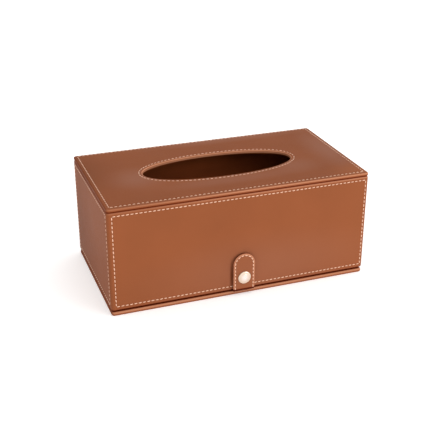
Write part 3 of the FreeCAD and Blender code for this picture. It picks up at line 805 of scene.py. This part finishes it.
def make_strap_backing(finish):
    """Inner leather of the strap, cut to the same shape and ending above the bend."""
    radius = STRAP_HIGH.x
    shoulder = STRAP_HIGH.z - radius
    edge = 0.6 * MM

    def laid(x, run, depth):
        return x, BACKING_LOW.y + depth, shoulder - run

    def painted_light_at(inset, depth, run):
        # The backing's edge is darker: partly its dyed edge, partly painted shade in the gap behind the
        # strap.
        return 0, 0, inset < edge

    profile = [(radius, 0), (radius * 0.5, 0), (0.05 * MM, 0), (0.0, 0.1 * MM)]
    profile += [(edge * (1 - math.cos(a)), STRAP_PLY - edge * (1 - math.sin(a)))
                for a in np.radians(np.linspace(0, 90, 6))]
    profile += [(radius * 0.5, STRAP_PLY), (radius, STRAP_PLY)]
    runs = list(np.linspace(0, shoulder - BACKING_LOW.z, 6))
    piece = strap_sheet("strap_backing", finish, profile, runs, laid, painted_light_at)
    return dress(piece, "strap", "tan_leather", "strap_back_leather")


def make_cap(finish):
    """Press stud cap: rolled rim, soft shoulder, shallow ring and a low crown."""
    radius = CAP_HIGH.x
    height = (CAP_LOW.z + CAP_HIGH.z) / 2
    face = STRAP_LOW.y
    crown = face - CAP_LOW.y
    # Shares of the radius and of the crown's height.
    profile = [(0.0, -0.05), (0.90, -0.05), (0.955, 0.0), (0.988, 0.10), (1.0, 0.22), (0.992, 0.38),
               (0.965, 0.52), (0.930, 0.60), (0.890, 0.65), (0.840, 0.70), (0.790, 0.745), (0.740, 0.785),
               (0.690, 0.82), (0.650, 0.840), (0.625, 0.800), (0.600, 0.790), (0.575, 0.830), (0.520, 0.900),
               (0.380, 0.955), (0.240, 0.985), (0.120, 0.997), (0.0, 1.0)]
    turns = np.linspace(0, 2 * math.pi, 64, endpoint=False)
    points = [(share * radius * math.cos(a), face - rise * crown, height + share * radius * math.sin(a))
              for share, rise in profile for a in turns]
    faces = loft_faces(len(profile), len(turns), False, True)
    piece = piece_from("cap_dome", points, faces, finish, weld=0.001 * MM, sharp=60.0)
    return dress(piece, "strap", "nickel", "snap_cap")


# ---- stitching

class Tree(Graph):
    """Geometry node group."""

    def __init__(self, name, inputs):
        self.group = bpy.data.node_groups.new(name, "GeometryNodeTree")
        super().__init__(self.group)
        face = self.group.interface
        face.new_socket("Geometry", in_out="OUTPUT", socket_type="NodeSocketGeometry")
        for label, kind in inputs.items():
            face.new_socket(label, in_out="INPUT", socket_type="NodeSocket" + kind)
        self.given = self.nodes.new("NodeGroupInput")

    def __getitem__(self, label):
        return Value(self, self.given.outputs[label])

    def close(self, geometry):
        self.links.new(geometry.socket, self.nodes.new("NodeGroupOutput").inputs[0])
        return self.group


def stitch_tree():
    """Lays stitches along a path: each is an arched, tapered length of thread that dips at its ends."""
    tree = Tree("stitch_row", {
        "Path": "Geometry", "Pitch": "Float", "Stitch length": "Float", "Thread radius": "Float",
        "Arch": "Float", "Slant": "Float", "Facing": "Vector", "Seed": "Int", "Thread": "Material"})
    path = tree.add("GeometryNodeMeshToCurve", {"Mesh": tree["Path"]})
    path = tree.add("GeometryNodeResampleCurve", {"Curve": path, "Length": tree["Pitch"]}, mode="LENGTH")

    reach, sunk = tree["Stitch length"] * 0.5, tree["Thread radius"] * -1.1
    arch = tree.add("GeometryNodeCurveQuadraticBezier", {
        "Resolution": 7,
        "Start": tree.add("ShaderNodeCombineXYZ", {"X": reach * -1.0, "Z": sunk}),
        "Middle": tree.add("ShaderNodeCombineXYZ", {"Z": tree["Arch"] * 2.0}),
        "End": tree.add("ShaderNodeCombineXYZ", {"X": reach, "Z": sunk})})
    along = tree.add("GeometryNodeSplineParameter", output="Factor")
    off_middle = tree.maths("ABSOLUTE", along * 2.0 - 1.0)
    taper = 1.0 - tree.maths("POWER", off_middle, 3.0) * 0.45
    arch = tree.add("GeometryNodeSetCurveRadius", {"Curve": arch, "Radius": taper})
    run = tree.add("GeometryNodeSplineParameter", output="Length")
    arch = tree.add("GeometryNodeStoreNamedAttribute", {"Geometry": arch, "Name": "thread_run", "Value": run},
                    data_type="FLOAT", domain="POINT")
    ring = tree.add("GeometryNodeCurvePrimitiveCircle", {"Resolution": 8, "Radius": tree["Thread radius"]},
                    mode="RADIUS")
    stitch = tree.add("GeometryNodeCurveToMesh", {"Curve": arch, "Profile Curve": ring, "Fill Caps": True})
    stitch = tree.add("GeometryNodeSetShadeSmooth", {"Geometry": stitch})

    tangent = tree.add("GeometryNodeInputTangent")
    turn = tree.add("FunctionNodeAlignRotationToVector", {"Vector": tangent}, axis="X")
    turn = tree.add("FunctionNodeAlignRotationToVector", {"Rotation": turn, "Vector": tree["Facing"]},
                    axis="Z", pivot_axis="X")

    def random(low, high):
        return tree.add("FunctionNodeRandomValue", {"Min": low, "Max": high, "Seed": tree["Seed"]}, 1,
                        data_type="FLOAT")

    lean = tree.add("ShaderNodeCombineXYZ", {"Z": random(-0.06, 0.06) + tree["Slant"]})
    lean = tree.add("FunctionNodeEulerToRotation", {"Euler": lean})
    turn = tree.add("FunctionNodeRotateRotation", {"Rotation": turn, "Rotate By": lean},
                    rotation_space="LOCAL")
    rows = tree.add("GeometryNodeInstanceOnPoints",
                    {"Points": path, "Instance": stitch, "Rotation": turn, "Scale": random(0.93, 1.05)})
    rows = tree.add("GeometryNodeRealizeInstances", {"Geometry": rows})
    return tree.close(tree.add("GeometryNodeSetMaterial", {"Geometry": rows, "Material": tree["Thread"]}))


def stitch_row(name, tree, lines, options):
    """Plain mesh of the stitches that the stitch tree lays along the lines of a row."""
    line = bpy.data.meshes.new(name + "_path")
    points, edges = [], []
    for part in lines:
        edges += [(len(points) + n, len(points) + n + 1) for n in range(len(part) - 1)]
        points += [tuple(point) for point in part]
    line.from_pydata(points, edges, [])
    guide = put(name + "_path", line)
    modifier = guide.modifiers.new("stitches", "NODES")
    modifier.node_group = tree
    for socket in tree.interface.items_tree:
        if socket.in_out == "INPUT" and socket.name in options:
            modifier[socket.identifier] = options[socket.name]
    bpy.context.view_layer.update()
    mesh = bpy.data.meshes.new_from_object(guide.evaluated_get(bpy.context.evaluated_depsgraph_get()))
    bpy.data.objects.remove(guide)
    if not mesh.polygons:
        raise RuntimeError(f"{name} has no stitches")
    mesh.name = name
    return put(name, mesh)


def frame_lines(across, along, short, placed):
    """Four sides of a rectangle of stitches, each cut short at both ends to keep a corner's stitches apart.

    The sides run anticlockwise, and each point is placed from its two coordinates.
    """
    return [[placed(across - short, along), placed(short - across, along)],
            [placed(-across, along - short), placed(-across, short - along)],
            [placed(short - across, -along), placed(across - short, -along)],
            [placed(across, short - along), placed(across, along - short)]]


def make_stitching(sizes, colours, thread):
    """Rows on the four walls, round the top, round the opening and round the strap."""
    tree = stitch_tree()
    sink = sizes.groove_depth - 0.06 * MM       # The thread's path lies just above the furrow's floor.
    tall, middle = wall_frame(sizes)
    wide, deep, flat = WALL_HIGH.x - sink, WALL_HIGH.y - sink, TOP_HIGH.z - sink

    def row(name, lines, facing, pitch=sizes.stitch_pitch, body="case"):
        piece = stitch_row("stitches_" + name, tree, lines, {
            "Pitch": pitch, "Stitch length": pitch * sizes.stitch_share, "Thread radius": sizes.thread_radius,
            "Arch": 0.22 * MM, "Slant": math.radians(5), "Facing": facing, "Seed": colours.seed,
            "Thread": thread})
        dress(piece, body, None)

    def panel(name, half_wide, half_tall, facing, placed):
        row(name, frame_lines(half_wide, half_tall, sizes.stitch_pitch / 2, placed), facing)

    panel("front", WALL_HIGH.x - sizes.stitch_inset, tall, (0, -1, 0),
          lambda u, v: (u + sizes.front_shift, -deep, middle + v))
    panel("left", WALL_HIGH.y - sizes.side_inset, tall, (-1, 0, 0), lambda u, v: (-wide, -u, middle + v))
    panel("right", WALL_HIGH.y - sizes.side_inset, tall, (1, 0, 0), lambda u, v: (wide, u, middle + v))
    panel("back", BACK_HIGH.x - sizes.stitch_inset, tall, (0, 1, 0), lambda u, v: (-u, deep, middle + v))
    panel("top", WALL_HIGH.x - sizes.top_inset, WALL_HIGH.y - sizes.top_inset, (0, 0, 1),
          lambda u, v: (u, v + sizes.top_shift, flat))
    # The row stops short of a full turn, so that its last stitch stays clear of its first.
    last = 2 * math.pi - sizes.stitch_pitch / (sizes.opening_width / 2 + sizes.opening_inset)
    edge, away = opening_rim(sizes, np.linspace(0, last, 240))
    row("opening", [layer(edge + away * sizes.opening_inset, flat)], (0, 0, 1))

    radius = STRAP_HIGH.x - sizes.strap_inset
    shoulder = STRAP_HIGH.z - STRAP_HIGH.x
    face, foot = STRAP_LOW.y + sink, STRAP_LOW.z + 0.5 * MM
    tip = [(-radius * math.cos(a), face, shoulder + radius * math.sin(a))
           for a in np.linspace(0, math.pi, 40)]
    strap = [(-radius, face, foot), *tip, (radius, face, foot)]
    row("strap", [strap], (0, -1, 0), sizes.strap_pitch, "strap")


# ---- putting together

def dress(piece, body, slot, *nodes):
    """Puts a finished piece on a body, in place of the CAD nodes it covers.

    A piece that is already blended across a joint has no body of its own. The slot is not used.
    """
    if body:
        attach(piece, body)
    if nodes:
        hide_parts(*nodes)
    return piece


def finish_of(name, make, *arguments):
    """A finish by its name, made the first time that it is asked for."""
    return bpy.data.materials.get(name) or make(*arguments)


def make_carried(colours):
    """Finishes of the boards, linings and press stud parts that keep their CAD shape."""
    nickel = finish_of("plated_nickel", nickel_finish, colours.nickel)
    finishes = {
        "lining": finish_of("napped_suede", suede_finish, colours.lining),
        "board": finish_of("fibreboard", board_finish, colours.board),
        "stud": nickel, "socket": nickel, "rivet": nickel}
    for name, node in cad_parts.items():
        finish = finishes.get(name.split("_")[-1])
        if not finish:
            continue
        if not node.material_slots:
            node.data.materials.append(finish)
        for place in node.material_slots:
            place.material = finish


# Camera: its lens in millimetres, its clipping in metres, its angles in degrees, and its place in
# millimetres from the box's middle, to the right, up and away.
LENS, NEAREST, FARTHEST = 70.84, 0.05, 50.0
AZIMUTH, ELEVATION, ROLL = 20.518, 25.364, 0.296
MIDDLE = 0, 0, 50
ASIDE, RAISED, AWAY = 5.579, -9.281, 824.672


def make_stage():
    """Pale floor, sky, lamp and camera."""
    scene = bpy.context.scene
    mesh = bpy.data.meshes.new("floor")
    reach = 6.0
    mesh.from_pydata([(-reach, -reach, 0), (reach, -reach, 0), (reach, reach, 0), (-reach, reach, 0)], [],
                     [(0, 1, 2, 3)])
    mesh.materials.append(finish_of("floor_paint", floor_finish))
    floor = put("floor", mesh)

    # The sky is brighter on the right, in front and above.
    world = bpy.data.worlds.new("studio")
    world.use_nodes = True
    sky = Graph(world.node_tree)
    here = sky.add("ShaderNodeTexCoord", output="Generated")
    facing = sky.add("ShaderNodeVectorMath", {0: here, 1: (0.85, -0.40, 0.34)}, "Value",
                     operation="DOT_PRODUCT")
    background = sky.nodes["Background"]
    background.inputs["Color"].default_value = (1.0, 0.99, 0.98, 1)
    sky.links.new(sky.maths("MULTIPLY_ADD", facing, 0.45, 0.90).socket, background.inputs["Strength"])
    scene.world = world

    light = bpy.data.lights.new("key", "AREA")
    light.shape = "RECTANGLE"
    light.size, light.size_y = 0.9, 0.6
    light.energy = 10.5
    light.color = (1.0, 0.985, 0.96)
    lamp = put("key", light)
    lamp.location = (1.2, -1.55, 0.45)
    lamp.rotation_euler = (Vector((0.05, 0, 0.05)) - lamp.location).to_track_quat("-Z", "Y").to_euler()

    camera = bpy.data.cameras.new("camera")
    camera.sensor_width = 36.0
    camera.lens = LENS
    camera.clip_start, camera.clip_end = NEAREST, FARTHEST
    azimuth, elevation, roll = (math.radians(angle) for angle in (AZIMUTH, ELEVATION, ROLL))
    forward = Vector((math.sin(azimuth) * math.cos(elevation), math.cos(azimuth) * math.cos(elevation),
                      -math.sin(elevation)))
    right = Vector((math.cos(azimuth), -math.sin(azimuth), 0))
    up = right.cross(forward)
    level = math.cos(roll) * right + math.sin(roll) * up
    upright = math.cos(roll) * up - math.sin(roll) * right
    spot = Vector(MIDDLE) * MM + (ASIDE * level + RAISED * upright - AWAY * forward) * MM
    item = put("camera", camera)
    item.matrix_world = Matrix.Translation(spot) @ Matrix((level, upright, -forward)).transposed().to_4x4()
    scene.camera = item
    scene.view_settings.view_transform = "Standard"


def leather_of(colours):
    return finish_of("grained_leather", leather_finish, colours.leather)


class PieceOperator:
    """What the piece operators share: their options and their settings."""

    bl_options = {"REGISTER", "UNDO"}

    def execute(self, context):
        self.make(context.scene.tissue_box_sizes, context.scene.tissue_box_colours)
        return {"FINISHED"}


class TISSUEBOX_OT_top_cover(PieceOperator, bpy.types.Operator):
    """Make the leather over the top, with the rolled lip of the opening"""

    bl_idname = "tissue_box.top_cover"
    bl_label = "Top cover"

    def make(self, sizes, colours):
        make_top_cover(sizes, leather_of(colours))


class TISSUEBOX_OT_wall_covers(PieceOperator, bpy.types.Operator):
    """Make the band of leather round the walls and the back panel that runs over the hinge"""

    bl_idname = "tissue_box.wall_covers"
    bl_label = "Wall covers"

    def make(self, sizes, colours):
        make_wall_cover(sizes, leather_of(colours))
        make_back_hide(sizes, leather_of(colours))


class TISSUEBOX_OT_base_cover(PieceOperator, bpy.types.Operator):
    """Make the leather round the base flap"""

    bl_idname = "tissue_box.base_cover"
    bl_label = "Base cover"

    def make(self, sizes, colours):
        make_base_cover(sizes, leather_of(colours))


class TISSUEBOX_OT_strap(PieceOperator, bpy.types.Operator):
    """Make the two leathers of the strap"""

    bl_idname = "tissue_box.strap"
    bl_label = "Strap"

    def make(self, sizes, colours):
        make_strap_band(sizes, leather_of(colours))
        make_strap_backing(leather_of(colours))


class TISSUEBOX_OT_cap(PieceOperator, bpy.types.Operator):
    """Make the plain cap of the press stud"""

    bl_idname = "tissue_box.cap"
    bl_label = "Press stud cap"

    def make(self, sizes, colours):
        make_cap(finish_of("plated_nickel", nickel_finish, colours.nickel))


class TISSUEBOX_OT_stitching(PieceOperator, bpy.types.Operator):
    """Make the rows of stitches on the case and on the strap"""

    bl_idname = "tissue_box.stitching"
    bl_label = "Stitching"

    def make(self, sizes, colours):
        make_stitching(sizes, colours, finish_of("waxed_thread", thread_finish, colours.thread))


class TISSUEBOX_OT_carried(PieceOperator, bpy.types.Operator):
    """Finish the boards, the linings and the hidden parts of the press stud"""

    bl_idname = "tissue_box.carried"
    bl_label = "Boards, linings and stud"

    def make(self, sizes, colours):
        make_carried(colours)


class TISSUEBOX_OT_stage(PieceOperator, bpy.types.Operator):
    """Make the floor, the lights and the camera"""

    bl_idname = "tissue_box.stage"
    bl_label = "Stage"

    def make(self, sizes, colours):
        make_stage()


OPERATORS = (
    TISSUEBOX_OT_top_cover,
    TISSUEBOX_OT_wall_covers,
    TISSUEBOX_OT_base_cover,
    TISSUEBOX_OT_strap,
    TISSUEBOX_OT_cap,
    TISSUEBOX_OT_stitching,
    TISSUEBOX_OT_carried,
    TISSUEBOX_OT_stage,
)


class TISSUEBOX_PT_panel(bpy.types.Panel):
    """Lists the pieces of the tissue box and their settings"""

    bl_idname = "TISSUEBOX_PT_panel"
    bl_label = "Tissue box"
    bl_space_type = "VIEW_3D"
    bl_region_type = "UI"
    bl_category = "Tissue box"

    def draw(self, context):
        for settings in (context.scene.tissue_box_sizes, context.scene.tissue_box_colours):
            for name in settings.__annotations__:
                self.layout.prop(settings, name)
        for operator in OPERATORS:
            self.layout.operator(operator.bl_idname)


CLASSES = (TissueBoxSizes, TissueBoxColours, *OPERATORS, TISSUEBOX_PT_panel)


def register():
    for item in CLASSES:
        bpy.utils.register_class(item)
    bpy.types.Scene.tissue_box_sizes = PointerProperty(type=TissueBoxSizes)
    bpy.types.Scene.tissue_box_colours = PointerProperty(type=TissueBoxColours)


def unregister():
    del bpy.types.Scene.tissue_box_colours
    del bpy.types.Scene.tissue_box_sizes
    for item in reversed(CLASSES):
        bpy.utils.unregister_class(item)


def main():
    register()
    bpy.ops.tissue_box.stage()
    bpy.ops.tissue_box.top_cover()
    bpy.ops.tissue_box.wall_covers()
    bpy.ops.tissue_box.base_cover()
    bpy.ops.tissue_box.strap()
    bpy.ops.tissue_box.cap()
    bpy.ops.tissue_box.stitching()
    bpy.ops.tissue_box.carried()


if __name__ == "__main__":
    main()
